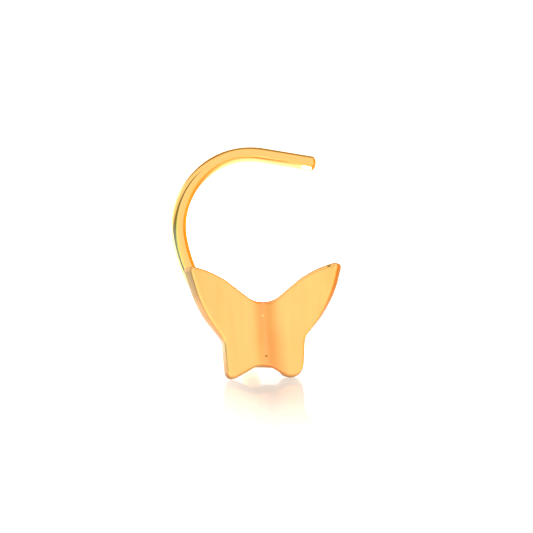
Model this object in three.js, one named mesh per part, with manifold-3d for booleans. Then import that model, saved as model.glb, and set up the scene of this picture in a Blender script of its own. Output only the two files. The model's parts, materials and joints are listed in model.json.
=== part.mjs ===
// A gold nose stud: a butterfly stamped from thick sheet, with a bent wire hook soldered to its back.
//
// The stud is drawn as it is made, in the butterfly's own frame: x runs across the wings, y up along the
// body crease and z out of the front. The hook's post leaves the back at x = 0, y = 0. The whole stud is
// then leaned back until it stands on its two lower wings and the hook's elbow, with +Z up, the butterfly
// facing -Y, and the origin on the floor under the middle of its bounding box. Sizes are in millimetres.

import * as THREE from "three";
import { mergeVertices } from "three/addons/utils/BufferGeometryUtils.js";
import Module from "manifold-3d";

// The butterfly.
const HALF_SPAN = 3.05; // body crease to wing tip, before the sheet is bent
const WING_HEIGHT = 4.46; // lowest point of the lower wings to the top of the upper wings
const POST_HEIGHT = 2.01; // lowest point of the lower wings to the middle of the post
const SHEET_THICKNESS = 0.65;

// The hook, bent from one wire. It is 22 gauge, the usual wire for a gold nose stud.
const WIRE_DIAMETER = 0.64;
const POST_LENGTH = 6.0; // back of the sheet to the middle of the hook's plane
const ELBOW_RADIUS = 1.1;
const CLIMB = 43; // degrees between upright and the wire as it leaves the elbow
const FLANK_RADIUS = 6.3; // the slow bend that climbs behind the left wing
const FLANK_TURN = 35; // degrees
const CROOK_RADIUS = 3.1; // the round bend over the top
const CROOK_TURN = 109; // degrees
const TIP_LENGTH = 2.1; // straight end, up to its dome
const TIP_DOME = 0.2;
const SOLDER_RADIUS = 0.62; // where the solder meets the sheet
const SOLDER_HEIGHT = 0.38;

// How finely round shapes are faceted.
const WIRE_SIDES = 18;
const WIRE_STEPS_PER_MM = 4.5;
const DEGREES_PER_STEP = 6;
const BEND_STEPS_PER_MM = 7;
const COLLAR_STEPS = 6;
const DOME_RINGS = 10;
const THINNEST_SLICE = 0.02;
const SOLDERED_OVERLAP = 0.004; // what is joined to the wire's surface starts this far under it

const GOLD = new THREE.MeshStandardMaterial({ color: 0xf6c25b, roughness: 0.32, metalness: 1.0 });

// Corners of the butterfly, from the notch between the upper wings down the right wings to the arch
// between the lower wings, and back up the left ones. The two sides differ a little, because the crease
// isn't pressed quite in the middle of the blank. across is a share of HALF_SPAN, up and round are shares
// of WING_HEIGHT.
const WING_CORNERS = [
  { corner: "notch", across: 0.0, up: 0.597, round: 0.25 },
  { corner: "right shoulder", across: 0.63, up: 0.93, round: 0.73 },
  { corner: "right tip", across: 1.016, up: 0.998, round: 0.036 },
  { corner: "right flank", across: 0.869, up: 0.633, round: 0.94 },
  { corner: "right waist", across: 0.529, up: 0.335, round: 0.13 },
  { corner: "right lobe", across: 0.468, up: -0.092, round: 0.25 },
  { corner: "arch", across: -0.046, up: 0.125, round: 0.205 },
  { corner: "left lobe", across: -0.521, up: -0.041, round: 0.062 },
  { corner: "left waist", across: -0.551, up: 0.338, round: 0.13 },
  { corner: "left flank", across: -0.838, up: 0.636, round: 0.94 },
  { corner: "left tip", across: -0.987, up: 1.007, round: 0.036 },
  { corner: "left shoulder", across: -0.615, up: 0.938, round: 0.73 },
];

// How steeply the sheet climbs towards the front, going out from the crease. out is a share of HALF_SPAN.
const WING_BEND = [
  { out: 0.0, slope: 0 },
  { out: 0.04, slope: 22 },
  { out: 0.1, slope: 22 },
  { out: 0.22, slope: 3 },
  { out: 0.5, slope: 3 },
  { out: 0.7, slope: 14 },
  { out: 1.04, slope: 25 },
];

const radians = THREE.MathUtils.degToRad;

// The closed outline through a ring of corners, with each corner cut to a tangent arc. A corner's radius
// is held to what the edges beside it leave room for.
function roundedOutline(corners) {
  const count = corners.length;
  const points = [];
  corners.forEach(({ at, radius }, index) => {
    const back = corners[(index + count - 1) % count].at.clone().sub(at);
    const ahead = corners[(index + 1) % count].at.clone().sub(at);
    const room = Math.min(back.length(), ahead.length()) / 2;
    back.normalize();
    ahead.normalize();
    const halfCorner = back.angleTo(ahead) / 2;
    const cut = Math.min(radius / Math.tan(halfCorner), room);
    const fitted = cut * Math.tan(halfCorner);
    const middle = back.clone().add(ahead).normalize();
    const centre = at.clone().addScaledVector(middle, fitted / Math.sin(halfCorner));
    const start = at.clone().addScaledVector(back, cut).sub(centre);
    const side = Math.sign(back.cross(ahead));
    const turn = side * (Math.PI - 2 * halfCorner);
    const steps = Math.max(2, Math.ceil(THREE.MathUtils.radToDeg(Math.abs(turn)) / DEGREES_PER_STEP));
    for (let step = 0; step <= steps; step++) {
      const spoke = start.clone().rotateAround(new THREE.Vector2(), (-turn * step) / steps);
      points.push(centre.clone().add(spoke));
    }
  });
  return points;
}

// The flat outline of the butterfly.
function butterflyOutline() {
  const corners = WING_CORNERS.map(({ across, up, round }) => ({
    at: new THREE.Vector2(across * HALF_SPAN, up * WING_HEIGHT - POST_HEIGHT),
    radius: round * WING_HEIGHT,
  }));
  return roundedOutline(corners);
}

// Where a point on the front of the flat sheet lies once the sheet is bent, and how steep it is there.
// Between two rows of WING_BEND the sheet is straight or follows a round arc.
function bentPlace(distance) {
  const place = { across: 0, lift: 0, slope: radians(WING_BEND[0].slope) };
  for (let row = 1; row < WING_BEND.length; row++) {
    const from = WING_BEND[row - 1];
    const to = WING_BEND[row];
    const whole = (to.out - from.out) * HALF_SPAN;
    const length = Math.min(whole, distance - from.out * HALF_SPAN);
    if (length <= 0) break;
    const halfTurn = (radians(to.slope - from.slope) * length) / whole / 2;
    const chord = halfTurn === 0 ? length : (length * Math.sin(halfTurn)) / halfTurn;
    place.across += chord * Math.cos(place.slope + halfTurn);
    place.lift += chord * Math.sin(place.slope + halfTurn);
    place.slope += 2 * halfTurn;
  }
  return place;
}

// The height at x of a line of points that runs from left to right.
function heightAlong(line, x) {
  const next = Math.min(line.length - 1, Math.max(1, line.findIndex((point) => point.x > x)));
  const share = (x - line[next - 1].x) / (line[next].x - line[next - 1].x);
  return THREE.MathUtils.lerp(line[next - 1].y, line[next].y, THREE.MathUtils.clamp(share, 0, 1));
}

// The flat butterfly as upright slices, from the left wing tip to the right.
function wingSlices() {
  const ring = butterflyOutline();
  const places = ring.map((point) => point.x);
  const leftTip = places.indexOf(Math.min(...places));
  const rightTip = places.indexOf(Math.max(...places));
  const upperEdge = [...ring.slice(leftTip), ...ring.slice(0, rightTip + 1)];
  const lowerEdge = ring.slice(rightTip, leftTip + 1).reverse();
  const first = places[leftTip] + THINNEST_SLICE / 2;
  const last = places[rightTip] - THINNEST_SLICE / 2;
  const bendSteps = Math.ceil(HALF_SPAN * BEND_STEPS_PER_MM);
  for (let step = -bendSteps; step <= bendSteps; step++) places.push((HALF_SPAN * step) / bendSteps);
  const inside = places.filter((x) => x > first && x < last - THINNEST_SLICE / 2).sort((a, b) => a - b);
  const slices = [];
  for (const x of [first, ...inside, last]) {
    if (slices.length && x - slices.at(-1).x < THINNEST_SLICE / 2) continue;
    slices.push({ x, top: heightAlong(upperEdge, x), bottom: heightAlong(lowerEdge, x) });
  }
  return slices;
}

// The butterfly, cut from flat sheet and then bent: a long box whose slices are moved to their places.
// Each keeps its height, turns with the sheet, and has the sheet's thickness.
function butterfly() {
  const slices = wingSlices();
  const last = slices.length - 1;
  const sheet = new THREE.BoxGeometry(1, 1, 1, last, 1, 1);
  const { position } = sheet.attributes;
  for (let index = 0; index < position.count; index++) {
    const { x, top, bottom } = slices[Math.round((position.getX(index) + 0.5) * last)];
    const { across, lift, slope } = bentPlace(Math.abs(x));
    const depth = position.getZ(index) > 0 ? 0 : SHEET_THICKNESS;
    const out = across + depth * Math.sin(slope);
    const up = position.getY(index) > 0 ? top : bottom;
    position.setXYZ(index, Math.sign(x) * out, up, lift - depth * Math.cos(slope));
  }
  return sheet;
}

// A round bend in the wire: its start, turned about a centre.
class WireBend extends THREE.Curve {
  constructor(start, centre, axis, angle) {
    super();
    Object.assign(this, { start, centre, axis, angle });
  }

  getPoint(share, target = new THREE.Vector3()) {
    target.copy(this.start).sub(this.centre);
    return target.applyAxisAngle(this.axis, this.angle * share).add(this.centre);
  }
}

// The middle line of the wire, from its root in the sheet to the start of its dome. Each stretch is
// straight, or turns about its own axis, and starts where the one before it ended.
function hookRoute() {
  const climb = radians(CLIMB);
  const elbowAxis = new THREE.Vector3(Math.cos(climb), Math.sin(climb), 0);
  const clockwise = new THREE.Vector3(0, 0, -1);
  const stretches = [
    { stretch: "post", length: SHEET_THICKNESS / 2 + POST_LENGTH - ELBOW_RADIUS },
    { stretch: "elbow", radius: ELBOW_RADIUS, turn: 90, axis: elbowAxis },
    { stretch: "flank", radius: FLANK_RADIUS, turn: FLANK_TURN, axis: clockwise },
    { stretch: "crook", radius: CROOK_RADIUS, turn: CROOK_TURN, axis: clockwise },
    { stretch: "tip", length: TIP_LENGTH },
  ];
  const route = new THREE.CurvePath();
  const place = new THREE.Vector3(0, 0, -SHEET_THICKNESS / 2);
  const heading = new THREE.Vector3(0, 0, -1);
  for (const { length, radius, turn, axis } of stretches) {
    const start = place.clone();
    if (length) {
      place.addScaledVector(heading, length);
      route.add(new THREE.LineCurve3(start, place.clone()));
    } else {
      const centre = start.clone().addScaledVector(axis.clone().cross(heading), radius);
      const bend = new WireBend(start, centre, axis, radians(turn));
      route.add(bend);
      bend.getPoint(1, place);
      heading.applyAxisAngle(axis, radians(turn));
    }
  }
  return { route, tip: place, heading };
}

// The wire along its route.
function wireTube(route) {
  const corners = [];
  for (let corner = 0; corner < WIRE_SIDES; corner++) {
    const angle = (2 * Math.PI * corner) / WIRE_SIDES;
    corners.push(new THREE.Vector2(WIRE_DIAMETER / 2, 0).rotateAround(new THREE.Vector2(), angle));
  }
  const steps = Math.ceil(route.getLength() * WIRE_STEPS_PER_MM);
  return new THREE.ExtrudeGeometry(new THREE.Shape(corners), { extrudePath: route, steps });
}

// The rounded end of the wire, half of it inside the wire.
function tipDome(tip, heading) {
  const dome = new THREE.SphereGeometry(WIRE_DIAMETER / 2 - SOLDERED_OVERLAP, WIRE_SIDES, DOME_RINGS);
  dome.scale(1, TIP_DOME / (WIRE_DIAMETER / 2), 1);
  dome.applyQuaternion(new THREE.Quaternion().setFromUnitVectors(new THREE.Vector3(0, 1, 0), heading));
  return dome.translate(tip.x, tip.y, tip.z);
}

// The solder that fills the corner between the wire and the back of the sheet.
function solderCollar() {
  const inner = WIRE_DIAMETER / 2 - SOLDERED_OVERLAP;
  const profile = [new THREE.Vector2(0, 0), new THREE.Vector2(SOLDER_RADIUS, 0)];
  for (let step = 0; step <= COLLAR_STEPS; step++) {
    const angle = (Math.PI / 2) * (step / COLLAR_STEPS);
    const out = SOLDER_RADIUS - (SOLDER_RADIUS - inner) * Math.sin(angle);
    const up = SOLDER_HEIGHT * (1 - Math.cos(angle));
    profile.push(new THREE.Vector2(out, SHEET_THICKNESS / 2 + up));
  }
  profile.push(new THREE.Vector2(0, SHEET_THICKNESS / 2 + SOLDER_HEIGHT));
  const collar = new THREE.LatheGeometry(profile, WIRE_SIDES);
  return collar.rotateX(-Math.PI / 2).translate(0, 0, -SHEET_THICKNESS / 2);
}

const wasm = await Module();
wasm.setup();

function solidFrom(geometry) {
  const bare = geometry.clone();
  bare.deleteAttribute("normal");
  bare.deleteAttribute("uv");
  const merged = mergeVertices(bare, 1e-4);
  const mesh = new wasm.Mesh({
    numProp: 3,
    vertProperties: merged.attributes.position.array,
    triVerts: new Uint32Array(merged.index.array),
  });
  return new wasm.Manifold(mesh);
}

function geometryFrom(solid) {
  const { numProp, vertProperties, triVerts } = solid.getMesh();
  const geometry = new THREE.BufferGeometry();
  const packed = new THREE.InterleavedBuffer(vertProperties, numProp);
  const places = new THREE.InterleavedBufferAttribute(packed, 3, 0);
  const position = new THREE.Float32BufferAttribute(places.count * 3, 3);
  for (let index = 0; index < places.count; index++) {
    position.setXYZ(index, places.getX(index), places.getY(index), places.getZ(index));
  }
  geometry.setAttribute("position", position);
  geometry.setIndex(new THREE.Uint32BufferAttribute(triVerts, 1));
  geometry.computeVertexNormals();
  return geometry;
}

// How far a piece reaches down when the stud leans back by an angle.
function lowestPoint(geometry, lean) {
  const { position } = geometry.attributes;
  let lowest = Infinity;
  for (let index = 0; index < position.count; index++) {
    const height = position.getY(index) * Math.cos(lean) + position.getZ(index) * Math.sin(lean);
    lowest = Math.min(lowest, height);
  }
  return lowest;
}

// The lean at which the lower wings and the elbow stand level on the floor, found by halving.
function restingLean(sheet, wire) {
  let upright = 0;
  let leaning = Math.PI / 4;
  for (let halving = 0; halving < 40; halving++) {
    const lean = (upright + leaning) / 2;
    if (lowestPoint(sheet, lean) < lowestPoint(wire, lean)) upright = lean;
    else leaning = lean;
  }
  return leaning;
}

function noseStud() {
  const { route, tip, heading } = hookRoute();
  const sheet = butterfly();
  const wire = wireTube(route);
  const pieces = [sheet, wire, tipDome(tip, heading), solderCollar()];
  const soldered = pieces.map(solidFrom).reduce((joined, piece) => joined.add(piece));
  const stud = new THREE.Mesh(geometryFrom(soldered), GOLD);
  stud.name = "butterfly_nose_stud";
  stud.rotation.x = Math.PI / 2 - restingLean(sheet, wire);
  stud.updateMatrixWorld();
  const box = new THREE.Box3().setFromObject(stud, true);
  const middle = box.getCenter(new THREE.Vector3());
  stud.position.set(-middle.x, -middle.y, -box.min.z);
  return stud;
}

const part = new THREE.Group();
part.add(noseStud());

export default part;
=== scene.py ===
# %% [markdown]
# # A gold butterfly nose stud
#
# The stud is one soldered piece of yellow gold. In front is a butterfly stamped from thick sheet, and
# behind it a wire that passes through the nostril, turns up at an elbow and bends round into an open
# hook. This lesson models its three parts, gives each the finish it has in the hand, and stands the stud
# on a white table in soft light. It starts with the measured solid that every part here has to fit.

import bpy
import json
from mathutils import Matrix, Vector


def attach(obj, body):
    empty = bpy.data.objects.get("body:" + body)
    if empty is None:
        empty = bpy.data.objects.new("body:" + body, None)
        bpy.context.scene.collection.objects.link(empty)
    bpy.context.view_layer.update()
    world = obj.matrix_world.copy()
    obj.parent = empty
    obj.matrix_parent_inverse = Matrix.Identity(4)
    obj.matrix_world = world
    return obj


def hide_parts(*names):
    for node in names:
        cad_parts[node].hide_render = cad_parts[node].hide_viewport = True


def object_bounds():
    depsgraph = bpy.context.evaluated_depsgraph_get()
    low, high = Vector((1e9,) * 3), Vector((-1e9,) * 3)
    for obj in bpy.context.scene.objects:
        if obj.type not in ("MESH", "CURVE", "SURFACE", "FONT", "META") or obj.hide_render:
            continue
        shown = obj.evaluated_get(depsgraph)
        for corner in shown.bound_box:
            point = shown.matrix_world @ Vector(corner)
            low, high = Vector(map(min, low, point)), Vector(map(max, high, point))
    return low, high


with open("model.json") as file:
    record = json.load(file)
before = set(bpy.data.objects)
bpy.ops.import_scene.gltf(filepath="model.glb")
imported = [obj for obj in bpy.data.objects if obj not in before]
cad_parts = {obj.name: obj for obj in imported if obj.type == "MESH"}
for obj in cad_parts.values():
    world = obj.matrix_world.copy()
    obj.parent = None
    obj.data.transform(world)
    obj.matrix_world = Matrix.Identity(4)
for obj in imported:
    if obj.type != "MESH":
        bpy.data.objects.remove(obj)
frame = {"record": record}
cad_low, cad_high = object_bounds()
print("measured solid in mm:", [round(1000 * side, 3) for side in cad_high - cad_low])

# %% [markdown]
# ## Sizes
#
# A jeweller works in millimetres and Blender in metres, so each length is written as so many MM. These
# are the sizes the solid was built from. The parts are drawn as they lie on the bench: x runs across the
# wings, y up along the body crease and z out of the butterfly's front, with the wire leaving the back at
# x = 0, y = 0.

# %% Sizes of the stud
import json
import math

import bmesh
import bpy
from mathutils import Matrix, Vector, noise

MM = 0.001

HALF_SPAN = 3.05 * MM  # body crease to wing tip, before the sheet is bent
WING_HEIGHT = 4.46 * MM
POST_HEIGHT = 2.01 * MM  # lowest point of the lower wings to the middle of the post
SHEET_THICKNESS = 0.65 * MM

WIRE_RADIUS = 0.32 * MM
POST_LENGTH = 6.0 * MM  # back of the sheet to the middle of the hook's plane
ELBOW_RADIUS = 1.1 * MM
CLIMB = math.radians(43)  # between upright and the wire as it leaves the elbow
FLANK_RADIUS = 6.3 * MM
FLANK_TURN = math.radians(35)
CROOK_RADIUS = 3.1 * MM
CROOK_TURN = math.radians(109)
TIP_LENGTH = 2.1 * MM
TIP_DOME = 0.2 * MM

print("wire", round(2 * WIRE_RADIUS / MM, 2), "mm thick, sheet", round(SHEET_THICKNESS / MM, 2), "mm thick")

# %% [markdown]
# ## The hook wire
#
# On the real stud the hook is one length of drawn round wire. A bench jeweller grips it in pliers and
# turns it: an elbow behind the nostril, a slow bend up the flank, and a round crook over the top. A curve
# object with a bevel would give the same tube, but its bends would have to be fitted by hand to handles.
# Here a ring of points goes through the jeweller's own moves instead: it is pulled straight, and it is
# spun about the middle of each bend. So every radius is exactly the one that was asked for.

# %% Helpers that pull and turn the ring
def edges_between(verts):
    """The edges that have both ends among the points."""
    chosen = set(verts)
    inside = [edge for vert in verts for edge in vert.link_edges if edge.other_vert(vert) in chosen]
    return list(dict.fromkeys(inside))


def points_of(geometry):
    return [element for element in geometry if isinstance(element, bmesh.types.BMVert)]


def pull(bm, ring, move, scale=1.0):
    """Draws the open end of the wire on by a move, and makes the new end larger or smaller."""
    made = bmesh.ops.extrude_edge_only(bm, edges=edges_between(ring))
    ring = points_of(made["geom"])
    bmesh.ops.translate(bm, vec=move, verts=ring)
    centre = sum((vert.co for vert in ring), Vector()) / len(ring)
    bmesh.ops.scale(bm, vec=(scale,) * 3, space=Matrix.Translation(-centre), verts=ring)
    return ring


def turn(bm, ring, centre, axis, angle, degrees_per_step):
    """Spins the open end of the wire about the middle of a bend."""
    steps = math.ceil(math.degrees(angle) / degrees_per_step)
    made = bmesh.ops.spin(
        bm, geom=ring + edges_between(ring), cent=centre, axis=axis, angle=angle, steps=steps,
        use_merge=False,
    )
    return points_of(made["geom_last"])


# %% [markdown]
# The route is a short list of stretches, each starting where the one before it ended. The post runs
# straight back from the middle of the sheet, where it is soldered. The elbow turns it into the plane of
# the hook, and the other two bends turn clockwise in that plane, seen from the front.

# %% Draw the wire
WIRE_SIDES = 48
WIRE_STEP = 3.0  # degrees of a bend per ring
DOME_RINGS = 9

elbow_axis = Vector((math.cos(CLIMB), math.sin(CLIMB), 0))
clockwise = Vector((0, 0, -1))

wire = bmesh.new()
place = Vector((0, 0, -SHEET_THICKNESS / 2))
heading = Vector((0, 0, -1))
ring = bmesh.ops.create_circle(
    wire, cap_ends=True, radius=WIRE_RADIUS, segments=WIRE_SIDES, matrix=Matrix.Translation(place)
)["verts"]

straight = heading * (SHEET_THICKNESS / 2 + POST_LENGTH - ELBOW_RADIUS)
ring = pull(wire, ring, straight)
place += straight
for bend_radius, angle, axis in (
    (ELBOW_RADIUS, math.pi / 2, elbow_axis),
    (FLANK_RADIUS, FLANK_TURN, clockwise),
    (CROOK_RADIUS, CROOK_TURN, clockwise),
):
    centre = place + axis.cross(heading) * bend_radius
    ring = turn(wire, ring, centre, axis, angle, WIRE_STEP)
    swing = Matrix.Rotation(angle, 3, axis)
    place = centre + swing @ (place - centre)
    heading = swing @ heading
ring = pull(wire, ring, heading * TIP_LENGTH)
place += heading * TIP_LENGTH
print("the wire ends", [round(x / MM, 3) for x in place], "heading", [round(x, 3) for x in heading])

# %% [markdown]
# The end that goes up the nose is filed round, so that it doesn't scratch. It is a low dome: more rings
# are drawn from the end, each a little further on and smaller, along a quarter of an ellipse, and the last
# one is merged into a point.

# %% Dome the tip and close the wire
for step in range(1, DOME_RINGS):
    before, after = (math.pi / 2 * s / DOME_RINGS for s in (step - 1, step))
    rise = TIP_DOME * (math.sin(after) - math.sin(before))
    ring = pull(wire, ring, heading * rise, math.cos(after) / math.cos(before))
bmesh.ops.pointmerge(wire, verts=ring, merge_co=place + heading * TIP_DOME)
bmesh.ops.recalc_face_normals(wire, faces=wire.faces)
print("hook wire:", len(wire.faces), "faces, volume", round(wire.calc_volume() / MM**3, 3), "cubic mm")

# %% [markdown]
# ## Standing the stud on the table
#
# Put down on a table, the stud stands on its two lower wings and its elbow, leaning back. The measured
# solid already stands that way, so the lean is read from it: its record gives the direction in which the
# back of the butterfly faces. The wire then says how far to move: its tip, its elbow's back and its top
# are the outermost points of the whole stud on those sides.

# %% Find the lean and the place
back_faces = Vector(next(m for m in frame["record"]["mounts"] if m["name"] == "wing_back")["axis"])
lean = math.atan2(-back_faces.z, back_faces.y)
lean_back = Matrix.Rotation(math.pi / 2 - lean, 4, "X")
leaning = [lean_back @ vert.co for vert in wire.verts]
shift = Vector((
    cad_high.x - max(point.x for point in leaning),
    cad_high.y - max(point.y for point in leaning),
    cad_high.z - max(point.z for point in leaning),
))
stand = Matrix.Translation(shift) @ lean_back
print("lean", round(math.degrees(lean), 2), "degrees, crease at", [round(x / MM, 3) for x in shift], "mm")

# %% [markdown]
# ## The butterfly
#
# The real butterfly is blanked from sheet in one stroke of a die, which leaves a flat plate with smooth
# round corners. A curve object or a mask could cut that outline too. Here it is a single face with twelve
# sharp corners, and each corner is rounded by a bevel of its vertex, because then the whole outline is
# twelve named rows. The two sides differ a little: the crease isn't pressed quite in the middle.

# %% Cut the flat outline
WING_CORNERS = [  # across is a share of HALF_SPAN, up and round are shares of WING_HEIGHT
    {"corner": "notch", "across": 0.0, "up": 0.597, "round": 0.25},
    {"corner": "right shoulder", "across": 0.63, "up": 0.93, "round": 0.73},
    {"corner": "right tip", "across": 1.016, "up": 0.998, "round": 0.036},
    {"corner": "right flank", "across": 0.869, "up": 0.633, "round": 0.94},
    {"corner": "right waist", "across": 0.529, "up": 0.335, "round": 0.13},
    {"corner": "right lobe", "across": 0.468, "up": -0.092, "round": 0.25},
    {"corner": "arch", "across": -0.046, "up": 0.125, "round": 0.205},
    {"corner": "left lobe", "across": -0.521, "up": -0.041, "round": 0.062},
    {"corner": "left waist", "across": -0.551, "up": 0.338, "round": 0.13},
    {"corner": "left flank", "across": -0.838, "up": 0.636, "round": 0.94},
    {"corner": "left tip", "across": -0.987, "up": 1.007, "round": 0.036},
    {"corner": "left shoulder", "across": -0.615, "up": 0.938, "round": 0.73},
]
DEGREES_PER_STEP = 4.0

butterfly = bmesh.new()
corners = []
for row in WING_CORNERS:
    at = (row["across"] * HALF_SPAN, row["up"] * WING_HEIGHT - POST_HEIGHT, 0)
    corners.append(butterfly.verts.new(at))
butterfly.faces.new(corners)

cuts = []
for row, corner in zip(WING_CORNERS, corners):
    one, other = (edge.other_vert(corner).co - corner.co for edge in corner.link_edges)
    half_corner = one.angle(other) / 2
    room = min(one.length, other.length) / 2
    cut = min(row["round"] * WING_HEIGHT / math.tan(half_corner), room)
    cuts.append((corner, cut, math.degrees(math.pi - 2 * half_corner)))
for corner, cut, bend in cuts:
    bmesh.ops.bevel(
        butterfly,
        geom=[corner],
        offset=cut,
        offset_type="OFFSET",
        affect="VERTICES",
        segments=max(3, math.ceil(bend / DEGREES_PER_STEP)),
        profile=0.5,
        material=-1,
    )
print("outline:", len(butterfly.verts), "points")

# %% [markdown]
# The plate gets its thickness by an extrusion, and then its rims are softened. Tumbling and hand finishing
# round the front rim well, and the back rim less. The rim itself stays as the punch left it, and gets its
# own metal, whose darker, browner gold is painted shade.

# %% Thicken the plate and round its rims
FRONT_RIM_ROUND = 0.13 * MM
BACK_RIM_ROUND = 0.09 * MM
RIM_STEPS = 6
FLAT = 0.001 * MM  # closer than this counts as lying on a face of the sheet


def rim_at(bm, height):
    """The edges of the outline that lie at a height."""
    return [e for e in bm.edges if all(abs(v.co.z - height) < FLAT for v in e.verts)]


made = bmesh.ops.extrude_face_region(butterfly, geom=butterfly.faces[:])
bmesh.ops.translate(butterfly, vec=(0, 0, -SHEET_THICKNESS), verts=points_of(made["geom"]))
for height, rim_round in ((0, FRONT_RIM_ROUND), (-SHEET_THICKNESS, BACK_RIM_ROUND)):
    bmesh.ops.bevel(
        butterfly,
        geom=rim_at(butterfly, height),
        offset=rim_round,
        offset_type="OFFSET",
        affect="EDGES",
        segments=RIM_STEPS,
        profile=0.5,
        material=-1,
    )
bmesh.ops.recalc_face_normals(butterfly, faces=butterfly.faces)
SATIN, RIM = 0, 1
RIM_STARTS = math.cos(math.radians(60))  # how far the rounding turns before it counts as the rim
for face in butterfly.faces:
    face.material_index = SATIN if abs(face.normal.z) > RIM_STARTS else RIM
plate_volume = butterfly.calc_volume() / MM**3
print("plate:", len(butterfly.faces), "faces, volume", round(plate_volume, 3), "cubic mm")

# %% [markdown]
# A second tool presses the crease of the body and curls the wings forward. To bend smoothly the plate
# needs many narrow strips, so flat planes slice it: closely across the wings, where it bends, and more
# widely along the crease, only to keep the faces compact.

# %% Slice the plate
STRIP_WIDTH = 0.05 * MM
STRIP_LENGTH = 0.12 * MM
NO_SLIVER = 0.006 * MM


def slice_across(bm, axis, width):
    """Cuts a mesh with evenly spaced planes that stand across an axis."""
    values = [vert.co[axis] for vert in bm.verts]
    first, last = math.ceil(min(values) / width), math.floor(max(values) / width)
    for step in range(first, last + 1):
        at, normal = Vector(), Vector()
        at[axis], normal[axis] = step * width, 1
        everything = bm.verts[:] + bm.edges[:] + bm.faces[:]
        bmesh.ops.bisect_plane(bm, geom=everything, dist=NO_SLIVER, plane_co=at, plane_no=normal)


slice_across(butterfly, 0, STRIP_WIDTH)
slice_across(butterfly, 1, STRIP_LENGTH)
print("sliced plate:", len(butterfly.faces), "faces")

# %% [markdown]
# The bend itself is a table: how steeply the sheet climbs towards the front, at some distance out from the
# crease. Between two rows the sheet is straight or follows a round arc, as sheet does in a press. The
# thickness stays square to the front, so the side walls turn with the wings.

# %% Press the crease and curl the wings
WING_BEND = [  # out is a share of HALF_SPAN, slope is in degrees
    {"out": 0.0, "slope": 0},
    {"out": 0.04, "slope": 22},
    {"out": 0.1, "slope": 22},
    {"out": 0.22, "slope": 3},
    {"out": 0.5, "slope": 3},
    {"out": 0.7, "slope": 14},
    {"out": 1.04, "slope": 25},
]


def bent_place(distance):
    """Where the front of the sheet lies at a distance out from the crease, and how steep it is there."""
    across, lift, slope = 0.0, 0.0, math.radians(WING_BEND[0]["slope"])
    for start, end in zip(WING_BEND, WING_BEND[1:]):
        whole = (end["out"] - start["out"]) * HALF_SPAN
        length = min(whole, distance - start["out"] * HALF_SPAN)
        if length <= 0:
            break
        half_turn = math.radians(end["slope"] - start["slope"]) * length / whole / 2
        chord = length if half_turn == 0 else length * math.sin(half_turn) / half_turn
        across += chord * math.cos(slope + half_turn)
        lift += chord * math.sin(slope + half_turn)
        slope += 2 * half_turn
    return across, lift, slope


for vert in butterfly.verts:
    depth = -vert.co.z
    across, lift, slope = bent_place(abs(vert.co.x))
    vert.co.x = math.copysign(across + depth * math.sin(slope), vert.co.x)
    vert.co.z = lift - depth * math.cos(slope)
print("wing tips stand", round(max(v.co.z for v in butterfly.verts) / MM, 2), "mm in front of the crease")

# %% [markdown]
# ## The solder
#
# A small collar of solder fills the corner where the wire meets the back of the butterfly. Surface tension
# gives it a hollow, flared side. A quarter of a circle is spun from one point and stretched to the
# collar's width and height, and that line is spun right round the wire.

# %% Spin the solder collar
SOLDER_RADIUS = 0.62 * MM  # where the solder meets the sheet
SOLDER_HEIGHT = 0.38 * MM
SOLDERED_OVERLAP = 0.004 * MM  # the solder starts this far under the wire's surface
FLARE_STEPS = 10
SOLDER_SIDES = 64
FULL_TURN = 2 * math.pi
QUARTER_TURN = math.pi / 2

solder = bmesh.new()
top = solder.verts.new((0, 0, 1))
bmesh.ops.spin(solder, geom=[top], cent=(0, 0, 0), axis=(0, 1, 0), angle=-QUARTER_TURN, steps=FLARE_STEPS)
flare_width = SOLDER_RADIUS - WIRE_RADIUS + SOLDERED_OVERLAP
bmesh.ops.scale(solder, vec=(flare_width, 1, SOLDER_HEIGHT), verts=solder.verts)
bmesh.ops.translate(solder, vec=(SOLDER_RADIUS, 0, -SHEET_THICKNESS - SOLDER_HEIGHT), verts=solder.verts)
bmesh.ops.spin(
    solder,
    geom=solder.verts[:] + solder.edges[:],
    cent=(0, 0, 0),
    axis=(0, 0, 1),
    angle=FULL_TURN,
    steps=SOLDER_SIDES,
    use_merge=True,
)
print("solder flare:", len(solder.faces), "faces")

# %% [markdown]
# The back of the crease is a low ridge, and molten solder runs down to it on both sides. So the wide end
# of the collar follows the back of the sheet, and the narrow end stays level. Its sides are a little
# uneven, as solder sets, and its foot reaches into the sheet, where it closes.

# %% Seat the collar on the back of the sheet
SOLDER_UNEVEN = 0.03 * MM
RIPPLES = 2.2 / MM
FOOT_DEPTH = SHEET_THICKNESS / 3  # how far the foot reaches into the sheet
RIDGE_SAMPLES = 200


def back_of_sheet(across):
    """How far out the back of the bent sheet lies, at a distance from the crease."""
    places = (bent_place(HALF_SPAN * step / RIDGE_SAMPLES) for step in range(RIDGE_SAMPLES))
    behind = [(x + SHEET_THICKNESS * math.sin(s), z - SHEET_THICKNESS * math.cos(s)) for x, z, s in places]
    return min(behind, key=lambda point: abs(point[0] - across))[1]


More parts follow.
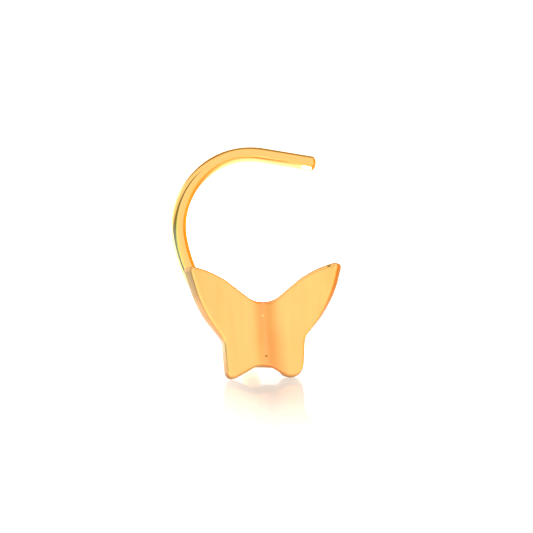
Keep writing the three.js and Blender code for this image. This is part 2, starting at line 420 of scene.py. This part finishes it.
for vert in solder.verts:
    spread = (vert.co.xy.length - WIRE_RADIUS) / flare_width
    ripple = noise.noise(vert.co * RIPPLES) * SOLDER_UNEVEN * spread
    vert.co.z += spread * (back_of_sheet(abs(vert.co.x)) + SHEET_THICKNESS) + ripple
    vert.co.xy *= 1 + ripple / SOLDER_RADIUS
halfway_out = (WIRE_RADIUS + SOLDER_RADIUS) / 2
open_rings = [edge for edge in solder.edges if edge.is_boundary]
foot = [edge for edge in open_rings if all(v.co.xy.length > halfway_out for v in edge.verts)]
made = bmesh.ops.extrude_edge_only(solder, edges=foot)
bmesh.ops.translate(solder, vec=(0, 0, FOOT_DEPTH), verts=points_of(made["geom"]))
bmesh.ops.holes_fill(solder, edges=[edge for edge in solder.edges if edge.is_boundary])
bmesh.ops.recalc_face_normals(solder, faces=solder.faces)
print("solder collar:", len(solder.faces), "faces,", round(solder.calc_volume() / MM**3, 3), "cubic mm")

# %% [markdown]
# ## Materials
#
# Every material reads the same coordinates: the object's own, turned back to the way the parts lay on the
# bench and counted in millimetres, so that brush marks can run straight up the wings. Nodes are added and
# joined by a few short helpers.

# %% Helpers for node trees
def add_node(tree, kind, settings=None, **values):
    """Adds a node, sets it up, and gives its inputs values or joins them to other sockets."""
    made = tree.nodes.new(kind)
    for name, value in (settings or {}).items():
        setattr(made, name, value)
    for name, value in values.items():
        socket = made.inputs[int(name[1:])] if name[0] == "_" else made.inputs[name.replace("_", " ")]
        if isinstance(value, bpy.types.NodeSocket):
            tree.links.new(value, socket)
        else:
            socket.default_value = value
    return made


def calculate(tree, operation, *values):
    places = {f"_{index}": value for index, value in enumerate(values)}
    return add_node(tree, "ShaderNodeMath", {"operation": operation}, **places).outputs["Value"]


def group_node(tree, group, **values):
    return add_node(tree, "ShaderNodeGroup", {"node_tree": group}, **values)


def span(tree, value, low, high, start, end, smooth=False):
    """Spreads the stretch of a value from start to end over low to high."""
    kind = {"interpolation_type": "SMOOTHSTEP" if smooth else "LINEAR"}
    made = add_node(
        tree, "ShaderNodeMapRange", kind, Value=value, From_Min=start, From_Max=end, To_Min=low, To_Max=high
    )
    return made.outputs["Result"]


def blend_colours(tree, share, first, second):
    made = add_node(tree, "ShaderNodeMix", {"data_type": "RGBA"}, _0=share, _6=first, _7=second)
    return made.outputs[2]


def bench_coordinates(tree):
    """The place on the flat, unbent stud, in millimetres."""
    place = add_node(tree, "ShaderNodeTexCoord").outputs["Object"]
    turn_back = {"vector_type": "TEXTURE"}
    lying = add_node(tree, "ShaderNodeMapping", turn_back, Vector=place, Location=shift, Scale=(MM,) * 3)
    lying.inputs["Rotation"].default_value = (QUARTER_TURN - lean, 0, 0)
    return lying.outputs["Vector"]


def new_group(name, inputs, outputs):
    """An empty shader group with named sockets, and its two end nodes."""
    tree = bpy.data.node_groups.new(name, "ShaderNodeTree")
    for title, kind, value in inputs:
        socket = tree.interface.new_socket(title, in_out="INPUT", socket_type=kind)
        if value is not None:
            socket.default_value = value
    for title in outputs:
        tree.interface.new_socket(title, in_out="OUTPUT", socket_type="NodeSocketFloat")
    return tree, tree.nodes.new("NodeGroupInput"), tree.nodes.new("NodeGroupOutput")


print("node helpers ready")

# %% [markdown]
# Gold that is handled gets faint smudges and tiny dents. They are the same on every part, so they are a
# group: soft patches that dull the polish here and there, and a fine pebbled height.

# %% The group for handling marks
def build_handling_marks():
    tree, start, end = new_group(
        "handling marks",
        [
            ("Place", "NodeSocketVector", None),
            ("Patches per mm", "NodeSocketFloat", 1.2),
            ("Dents per mm", "NodeSocketFloat", 9.0),
        ],
        ["Smudge", "Dents"],
    )
    for output, scale in (("Smudge", "Patches per mm"), ("Dents", "Dents per mm")):
        patches = add_node(
            tree, "ShaderNodeTexNoise", Vector=start.outputs["Place"], Scale=start.outputs[scale],
            Detail=2.0, Roughness=0.5,
        )
        tree.links.new(patches.outputs["Fac"], end.inputs[output])
    return tree


handling_marks = build_handling_marks()
print("group:", handling_marks.name)

# %% [markdown]
# ### A helper for the metals
#
# All four metals start from the same shader. Each one is dulled in patches, between its best and its worst
# polish, and has a very fine relief.

# %% Helpers for the metals
NOISE_LOW, NOISE_HIGH = 0.3, 0.7  # nearly all of a noise lies between these


def new_metal(name):
    """A metal with only its shader, and the shader itself."""
    material = bpy.data.materials.new(name)
    material.use_nodes = True
    shader = material.node_tree.nodes["Principled BSDF"]
    shader.inputs["Metallic"].default_value = 1.0
    return material, material.node_tree, shader


def give_surface(tree, shader, smudge, best, worst, relief, strength, depth):
    """Spreads the smudges from the best to the worst roughness, and raises the relief."""
    roughness = span(tree, smudge, best, worst, NOISE_LOW, NOISE_HIGH)
    tree.links.new(roughness, shader.inputs["Roughness"])
    bump = add_node(tree, "ShaderNodeBump", Height=relief, Strength=strength, Distance=depth)
    tree.links.new(bump.outputs["Normal"], shader.inputs["Normal"])


print("noise is spread from", NOISE_LOW, "to", NOISE_HIGH)

# %% [markdown]
# ### Satin gold
#
# The front and back of the butterfly are brushed satin, all in one direction. The brush leaves hair-fine
# lines, and beside them broader, fainter streaks. Noise that is squeezed across the brush and drawn out
# along it gives both.
#
# The crease looks a deeper orange, where light bounces between its two sides and they shade each other.
# That colour is painted shade: a mask that fades out from the crease mixes it in. The painted shade wanders
# a little to the right on its way down. Three tiny flecks are round masks in their own colours: a dark one
# low in the crease, a paler one high in it, and a dark one by the right tip, which is painted shade.

# %% Satin gold
BRUSH_LINES, BRUSH_STREAKS = 26.0, 3.5  # per mm across the brush
BRUSH_BREAKS = 0.35  # per mm along it
GOLD = (1.0, 0.50, 0.155, 1.0)
# Painted shade: the deeper orange of the crease.
PAINTED_CREASE_SHADE = (0.98, 0.345, 0.104, 1.0)
STREAK_GOLD = (1.0, 0.53, 0.175, 1.0)
CREASE_SHADE_HALF_WIDTH = 0.72  # mm
CREASE_SHADE_OFFSET = 0.17  # mm to the right of the middle
CREASE_SHADE_WANDER = -0.07  # mm further to the right for each mm up
DARK_FLECK = (0.42, 0.2, 0.04, 1.0)
BRIGHT_FLECK = (1.0, 0.54, 0.21, 1.0)
FLECKS = [
    {"fleck": "low in the crease", "at": (0.02, -1.19), "radius": 0.07, "colour": DARK_FLECK},
    {"fleck": "high in the crease", "at": (-0.04, 0.42), "radius": 0.06, "colour": BRIGHT_FLECK},
    # Painted shade at the rim of the right tip.
    {"fleck": "by the right tip", "at": (2.62, 2.28), "radius": 0.1, "colour": DARK_FLECK},
]


def brushed(tree, place, across):
    """Noise in long strokes up the wings, so many to the mm across."""
    squeezed = add_node(
        tree, "ShaderNodeVectorMath", {"operation": "MULTIPLY"}, _0=place, _1=(across, BRUSH_BREAKS, across)
    ).outputs["Vector"]
    strokes = add_node(tree, "ShaderNodeTexNoise", Vector=squeezed, Scale=1.0, Detail=3.0, Roughness=0.55)
    return strokes.outputs["Fac"]


def satin_gold():
    material, tree, shader = new_metal("satin gold")
    place = bench_coordinates(tree)
    marks = group_node(tree, handling_marks, Place=place, Patches_per_mm=0.7)
    sides = add_node(tree, "ShaderNodeSeparateXYZ", Vector=place).outputs
    # Painted shade: a mask that fades out from the crease mixes in its deeper orange.
    middle = calculate(tree, "MULTIPLY_ADD", sides["Y"], CREASE_SHADE_WANDER, CREASE_SHADE_OFFSET)
    off_crease = calculate(tree, "ABSOLUTE", calculate(tree, "SUBTRACT", sides["X"], middle))
    crease = span(tree, off_crease, 1.0, 0.0, start=0.0, end=CREASE_SHADE_HALF_WIDTH, smooth=True)
    streaks = span(tree, brushed(tree, place, BRUSH_STREAKS), 0.0, 1.0, NOISE_LOW, NOISE_HIGH)
    colour = blend_colours(tree, crease, blend_colours(tree, streaks, GOLD, STREAK_GOLD), PAINTED_CREASE_SHADE)
    for row in FLECKS:
        across, up = row["at"]
        on_front = (across, up, bent_place(abs(across) * MM)[1] / MM)
        distance = add_node(tree, "ShaderNodeVectorMath", {"operation": "DISTANCE"}, _0=place, _1=on_front)
        off_fleck = distance.outputs["Value"]
        fleck = span(tree, off_fleck, 1.0, 0.0, start=row["radius"] / 2, end=row["radius"], smooth=True)
        colour = blend_colours(tree, fleck, colour, row["colour"])
    tree.links.new(colour, shader.inputs["Base Color"])
    give_surface(
        tree, shader, marks.outputs["Smudge"], best=0.3, worst=0.42,
        relief=brushed(tree, place, BRUSH_LINES), strength=0.25, depth=0.004 * MM,
    )
    return material


satin = satin_gold()
print("material:", satin.name, len(satin.node_tree.nodes), "nodes")

# %% [markdown]
# ### Polished gold
#
# The wire is drawn and polished. The polish is near a mirror, dulled a little in patches.

# %% Polished gold
def polished_gold():
    material, tree, shader = new_metal("polished gold")
    place = bench_coordinates(tree)
    marks = group_node(tree, handling_marks, Place=place, Patches_per_mm=1.1, Dents_per_mm=7.0)
    shader.inputs["Base Color"].default_value = GOLD
    give_surface(
        tree, shader, marks.outputs["Smudge"], best=0.06, worst=0.14, relief=marks.outputs["Dents"],
        strength=0.12, depth=0.006 * MM,
    )
    return material


polished = polished_gold()
print("material:", polished.name, len(polished.node_tree.nodes), "nodes")

# %% [markdown]
# ### Rim gold, with painted shade
#
# The rim of the sheet is neither brushed nor polished. It keeps the skin that the punch left, so it is
# duller than the front. Its deeper, browner gold is painted shade on the side walls.

# %% Rim gold
# Painted shade: a darker, browner copy of the gold for the rim.
SHADED_RIM_GOLD = (0.62, 0.29, 0.092, 1.0)


def shaded_rim_gold():
    material, tree, shader = new_metal("shaded rim gold")
    place = bench_coordinates(tree)
    marks = group_node(tree, handling_marks, Place=place, Patches_per_mm=1.6, Dents_per_mm=12.0)
    shader.inputs["Base Color"].default_value = SHADED_RIM_GOLD
    give_surface(
        tree, shader, marks.outputs["Smudge"], best=0.36, worst=0.5, relief=marks.outputs["Dents"],
        strength=0.2, depth=0.008 * MM,
    )
    return material


shaded_rim_metal = shaded_rim_gold()
print("material:", shaded_rim_metal.name, len(shaded_rim_metal.node_tree.nodes), "nodes")

# %% [markdown]
# ### Solder
#
# Gold solder melts lower than the gold that it joins, sets a shade paler, and keeps fine pits.

# %% Solder
SOLDER_GOLD = (0.98, 0.56, 0.23, 1.0)
SOLDER_PALE = (1.0, 0.64, 0.30, 1.0)
PALE_STARTS, PALE_FULL = 0.35, 0.65  # of the smudges


def solder_gold():
    material, tree, shader = new_metal("gold solder")
    place = bench_coordinates(tree)
    marks = group_node(tree, handling_marks, Place=place, Patches_per_mm=3.0, Dents_per_mm=22.0)
    pale = span(tree, marks.outputs["Smudge"], 0.0, 1.0, PALE_STARTS, PALE_FULL)
    tree.links.new(blend_colours(tree, pale, SOLDER_GOLD, SOLDER_PALE), shader.inputs["Base Color"])
    give_surface(
        tree, shader, marks.outputs["Smudge"], best=0.22, worst=0.4, relief=marks.outputs["Dents"],
        strength=0.5, depth=0.02 * MM,
    )
    return material


soldered = solder_gold()
print("material:", soldered.name, len(soldered.node_tree.nodes), "nodes")

# %% [markdown]
# ## The finished parts
#
# Each part is stood up by the same move, becomes an object at the origin, and takes over from the measured
# solid. All three stay together, because they are soldered.

# %% Turn the meshes into parts of the stud
def finish_part(name, bm, *metals):
    bmesh.ops.transform(bm, matrix=stand, verts=bm.verts)
    for face in bm.faces:
        face.smooth = True
    mesh = bpy.data.meshes.new(name)
    bm.to_mesh(mesh)
    bm.free()
    for metal in metals:
        mesh.materials.append(metal)
    part = bpy.data.objects.new(name, mesh)
    bpy.context.scene.collection.objects.link(part)
    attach(part, "root")
    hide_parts("butterfly_nose_stud")
    for side, pick in (("from", min), ("to", max)):
        corner = [pick(vert.co[axis] for vert in mesh.vertices) / MM for axis in range(3)]
        print(name, side, [round(place, 2) for place in corner], "mm")


finish_part("butterfly", butterfly, satin, shaded_rim_metal)
finish_part("hook_wire", wire, polished)
finish_part("solder_collar", solder, soldered)

# %% [markdown]
# ## The table
#
# A pale, slightly glossy light table. It is a plain large square, and it isn't part of the stud. Most of
# its white is a glow from below, which leaves no shadows. The glow grows with the distance from the feet,
# so it washes out every reflection but the butterfly's own, just in front of it. It is stronger still
# behind the stud, and the underside of the hook shows that.
#
# Polished gold also shows what lies outside the picture. There a strip of the table on the left glows a
# dim slate blue, the right side glows orange, and the glow behind the stud is a cool blue-green, which
# gold turns to lemon. Only reflections see those three colours, and the camera never does.

# %% Lay the table
TABLE_HALF = 600 * MM
TABLE_GREY = (0.2, 0.2, 0.2, 1.0)
TABLE_ROUGHNESS = 0.1
TABLE_GLOW = 0.5
FEET_AT = (-0.2 * MM, -4.6 * MM)  # between the two lobes that the stud stands on
SIDES_TIGHTER = 2.3  # the glow closes in faster from the sides than from the front
ROUND_STARTS, ROUND_FULL, ROUND_GLOW = 2.2 * MM, 9.5 * MM, 0.65  # by the distance from the feet
BACK_STARTS, BACK_FULL, BACK_GLOW = -6.2 * MM, 4.0 * MM, 1.8  # along y
BACK_RIGHT_STARTS, BACK_RIGHT_ENDS = 3.0 * MM, 6.0 * MM  # along x, where the glow behind dies away
SLATE_ROUND, SLATE_HALF, SLATE_SOFT = -84, 19, 4  # degrees round from the front, to the right
SLATE_STARTS, SLATE_FULL = 8.0 * MM, 11.0 * MM  # to the left
WARM_STARTS, WARM_FULL = 5.0 * MM, 9.0 * MM  # to the right
WHITE_GLOW = (1.05, 0.97, 0.88, 1.0)
WARM_GLOW = (0.9, 0.4, 0.03, 1.0)
COOL_GLOW = (0.4, 0.7, 0.92, 1.0)
SLATE_GLOW = (0.02, 0.15, 0.4, 1.0)


def angle_round_from_front(tree, sides):
    """Degrees round to the right from the front, which is -Y."""
    front = calculate(tree, "MULTIPLY", sides["Y"], -1.0)
    return calculate(tree, "DEGREES", calculate(tree, "ARCTAN2", sides["X"], front))


def table_glow(tree, place, sides):
    """How bright the table's glow is, by place, and the share of it that only the back gives."""
    from_feet = add_node(
        tree, "ShaderNodeMapping", {"vector_type": "TEXTURE"}, Vector=place, Location=(*FEET_AT, 0.0),
        Scale=(1 / SIDES_TIGHTER, 1.0, 1.0),
    ).outputs["Vector"]
    distance = add_node(tree, "ShaderNodeVectorMath", {"operation": "LENGTH"}, _0=from_feet)
    away = distance.outputs["Value"]
    around = span(tree, away, TABLE_GLOW, TABLE_GLOW + ROUND_GLOW, ROUND_STARTS, ROUND_FULL)
    behind = span(tree, sides["Y"], 0.0, BACK_GLOW, BACK_STARTS, BACK_FULL, smooth=True)
    left = span(tree, sides["X"], 1.0, 0.0, BACK_RIGHT_STARTS, BACK_RIGHT_ENDS, smooth=True)
    back = calculate(tree, "MULTIPLY", behind, left)
    return calculate(tree, "ADD", back, around), calculate(tree, "DIVIDE", back, BACK_GLOW)


def reflected_only(tree, sides):
    """The shares of the slate strip and of the warm side in the glow, and which rays they hold for."""
    angle = angle_round_from_front(tree, sides)
    off_strip = calculate(tree, "ABSOLUTE", calculate(tree, "SUBTRACT", angle, SLATE_ROUND))
    strip = span(tree, off_strip, 1.0, 0.0, SLATE_HALF, SLATE_HALF + SLATE_SOFT, smooth=True)
    far_left = span(tree, sides["X"], 0.0, 1.0, -SLATE_STARTS, -SLATE_FULL, smooth=True)
    camera_ray = add_node(tree, "ShaderNodeLightPath").outputs["Is Camera Ray"]
    reflected = calculate(tree, "SUBTRACT", 1.0, camera_ray)
    slate = calculate(tree, "MULTIPLY", calculate(tree, "MULTIPLY", strip, far_left), reflected)
    warm = span(tree, sides["X"], 0.0, 1.0, WARM_STARTS, WARM_FULL, smooth=True)
    return slate, calculate(tree, "MULTIPLY", warm, reflected), reflected


def pale_table():
    material = bpy.data.materials.new("pale table")
    material.use_nodes = True
    tree = material.node_tree
    shader = tree.nodes["Principled BSDF"]
    shader.inputs["Base Color"].default_value = TABLE_GREY
    shader.inputs["Roughness"].default_value = TABLE_ROUGHNESS
    place = add_node(tree, "ShaderNodeTexCoord").outputs["Object"]
    sides = add_node(tree, "ShaderNodeSeparateXYZ", Vector=place).outputs
    slate, warm, reflected = reflected_only(tree, sides)
    glow, back = table_glow(tree, place, sides)
    cool = calculate(tree, "MULTIPLY", back, reflected)
    colour = blend_colours(tree, warm, blend_colours(tree, cool, WHITE_GLOW, COOL_GLOW), WARM_GLOW)
    tree.links.new(glow, shader.inputs["Emission Strength"])
    tree.links.new(blend_colours(tree, slate, colour, SLATE_GLOW), shader.inputs["Emission Color"])
    return material


square = bmesh.new()
bmesh.ops.create_grid(square, x_segments=1, y_segments=1, size=TABLE_HALF)
table_mesh = bpy.data.meshes.new("table")
square.to_mesh(table_mesh)
square.free()
table_mesh.materials.append(pale_table())
table = bpy.data.objects.new("table", table_mesh)
bpy.context.scene.collection.objects.link(table)
print("table", round(2 * TABLE_HALF / MM), "mm square")

# %% [markdown]
# ## Light
#
# Jewellery is lit in a tent of white cloth, because polished gold shows whatever is round it. The tent is
# the world: white all round, with a few panels. Each panel is a patch in a direction, given in degrees by
# how far round it is from the front, to the right, and how high, with half its width and height. A leaning
# one moves round by its lean for each degree up. A bright panel draws a pale line along the wire. The
# narrow dark one, the slit where the tent opens, draws the thin dark line that makes round metal look
# round. The slit is a dull green, and at its foot it turns to the slate blue of the strip on the table.

# %% The group for a panel of the tent
HALF_CIRCLE = 180.0  # degrees


def build_tent_panel():
    titles = ("Round", "Height", "Panel Round", "Panel Height", "Half Width", "Half Height", "Soft")
    inputs = [(title, "NodeSocketFloat", 0.0) for title in titles]
    tree, start, end = new_group("tent panel", inputs, ["Share"])
    given = start.outputs
    shares = []
    ways = (("Round", "Panel Round", "Half Width"), ("Height", "Panel Height", "Half Height"))
    for seen, centre, half in ways:
        turned = calculate(tree, "SUBTRACT", given[seen], given[centre])
        off = calculate(tree, "ABSOLUTE", calculate(tree, "WRAP", turned, HALF_CIRCLE, -HALF_CIRCLE))
        edge = calculate(tree, "ADD", given[half], given["Soft"])
        shares.append(span(tree, off, 1.0, 0.0, given[half], edge, smooth=True))
    tree.links.new(calculate(tree, "MULTIPLY", *shares), end.inputs["Share"])
    return tree


tent_panel = build_tent_panel()
print("group:", tent_panel.name)

# %% [markdown]
# The panels are a table too. The direction that a ray leaves in is turned into an angle round and an angle
# up, and each row lays its colour over what is there. The panel at the left back edges the wire with
# lemon, the warm one turns its inner side orange, and the dull roof draws the line along the top of the
# hook. The camera itself sees plain white behind the stud.

# %% Hang the tent
TENT_WHITE = (1.28, 1.28, 1.28, 1.0)
KEY_LIME = (0.9, 1.65, 1.3, 1.0)
BACK_WHITE = (1.8, 2.1, 2.1, 1.0)
FILL_WHITE = (1.4, 1.4, 1.36, 1.0)
SLIT_GREEN = (0.24, 0.38, 0.26, 1.0)
SLIT_SLATE = (0.26, 0.55, 1.1, 1.0)
WARM_LIGHT = (1.0, 0.66, 0.1, 1.0)
ROOF_OLIVE = (0.45, 0.4, 0.12, 1.0)
PANELS = [
    {"panel": "fill", "at": (-30, 25), "half": (26, 30), "lean": 0.0, "soft": 10, "colour": FILL_WHITE},
    {"panel": "key", "at": (-58, 6), "half": (10, 18), "lean": 0.8, "soft": 5, "colour": KEY_LIME},
    {"panel": "slit", "at": (-90, -6), "half": (16, 55), "lean": 1.25, "soft": 4, "colour": SLIT_GREEN},
    {"panel": "foot", "at": (-87, -6), "half": (16, 18), "lean": 1.25, "soft": 5, "colour": SLIT_SLATE},
    {"panel": "left back", "at": (-138, 5), "half": (24, 30), "lean": 0.0, "soft": 6, "colour": BACK_WHITE},
    {"panel": "warm", "at": (116, 10), "half": (46, 34), "lean": 0.0, "soft": 8, "colour": WARM_LIGHT},
    {"panel": "roof", "at": (180, 47), "half": (50, 21), "lean": 0.0, "soft": 5, "colour": ROOF_OLIVE},
]

tent = bpy.data.worlds.new("light tent")
tent.use_nodes = True
bpy.context.scene.world = tent
tree = tent.node_tree
direction = add_node(tree, "ShaderNodeTexCoord").outputs["Generated"]
sides = add_node(tree, "ShaderNodeSeparateXYZ", Vector=direction).outputs
angle_round = angle_round_from_front(tree, sides)
angle_up = calculate(tree, "DEGREES", calculate(tree, "ARCSINE", sides["Z"]))
colour = TENT_WHITE
for row in PANELS:
    at_round, at_height = map(float, row["at"])
    half_width, half_height = map(float, row["half"])
    leaned_round = calculate(tree, "MULTIPLY_ADD", angle_up, -row["lean"], angle_round)
    share = group_node(
        tree, tent_panel, Round=leaned_round, Height=angle_up, Panel_Round=at_round, Panel_Height=at_height,
        Half_Width=half_width, Half_Height=half_height, Soft=float(row["soft"]),
    ).outputs["Share"]
    colour = blend_colours(tree, share, colour, row["colour"])
seen_by_camera = add_node(tree, "ShaderNodeLightPath").outputs["Is Camera Ray"]
colour = blend_colours(tree, seen_by_camera, colour, TENT_WHITE)
tree.links.new(colour, tree.nodes["Background"].inputs["Color"])
bpy.context.scene.view_settings.view_transform = "Standard"
print("tent panels:", [row["panel"] for row in PANELS])

# %% [markdown]
# One tiny lamp lies just under the end of the wire, a little in front of it. The camera doesn't see it,
# and its beam meets nothing else, so it shows only as the white spark on the wire's end.

# %% The spark on the tip
SPARK_FROM_TIP = Vector((-0.15, -0.8, -1.2)) * MM
SPARK_WIDTH, SPARK_DEPTH = 0.4 * MM, 1.2 * MM
SPARK_SPREAD = 110  # degrees
SPARK_WATTS = 0.00005

spark = bpy.data.lights.new("spark", "AREA")
spark.shape = "ELLIPSE"
spark.size = SPARK_WIDTH
spark.size_y = SPARK_DEPTH
spark.spread = math.radians(SPARK_SPREAD)
spark.energy = SPARK_WATTS
spark_lamp = bpy.data.objects.new("spark", spark)
wire_end = stand @ place
spark_lamp.location = wire_end + SPARK_FROM_TIP
spark_lamp.rotation_euler = (2 * QUARTER_TURN, 0, 0)
spark_lamp.visible_camera = False
bpy.context.scene.collection.objects.link(spark_lamp)
print("spark lamp at", [round(x / MM, 1) for x in spark_lamp.location], "mm, shining up")

# %% [markdown]
# ## Camera
#
# The camera looks at the butterfly from a little to its left and a little above, through a long lens. It
# is placed so that the crease, level with the post, shows where it does on the photograph.

# %% Place the camera
PHOTO_SIDE = 533  # pixels
CREASE_SHOWS_AT = (264.4, 326.0)  # pixels from the left and from the top
CREASE_SCALE = 0.0395 * MM  # of the object for each pixel, at the crease
CAMERA_DISTANCE = 110 * MM
CAMERA_AZIMUTH = math.radians(-9)
CAMERA_ELEVATION = math.radians(12)
SENSOR_WIDTH = 36.0

to_camera = Vector((
    math.sin(CAMERA_AZIMUTH) * math.cos(CAMERA_ELEVATION),
    -math.cos(CAMERA_AZIMUTH) * math.cos(CAMERA_ELEVATION),
    math.sin(CAMERA_ELEVATION),
))
look = (-to_camera).to_track_quat("-Z", "Y")
right, up = look @ Vector((1, 0, 0)), look @ Vector((0, 1, 0))
middle = PHOTO_SIDE / 2
aim = shift + CREASE_SCALE * ((middle - CREASE_SHOWS_AT[0]) * right + (CREASE_SHOWS_AT[1] - middle) * up)

lens = bpy.data.cameras.new("camera")
lens.sensor_width = SENSOR_WIDTH
lens.lens = SENSOR_WIDTH * CAMERA_DISTANCE / (PHOTO_SIDE * CREASE_SCALE)
lens.clip_start, lens.clip_end = 10 * MM, 2000 * MM
camera = bpy.data.objects.new("camera", lens)
camera.location = aim + to_camera * CAMERA_DISTANCE
camera.rotation_mode = "QUATERNION"
camera.rotation_quaternion = look
bpy.context.scene.collection.objects.link(camera)
bpy.context.scene.camera = camera
print("lens", round(lens.lens, 1), "mm, camera at", [round(x / MM, 1) for x in camera.location], "mm")
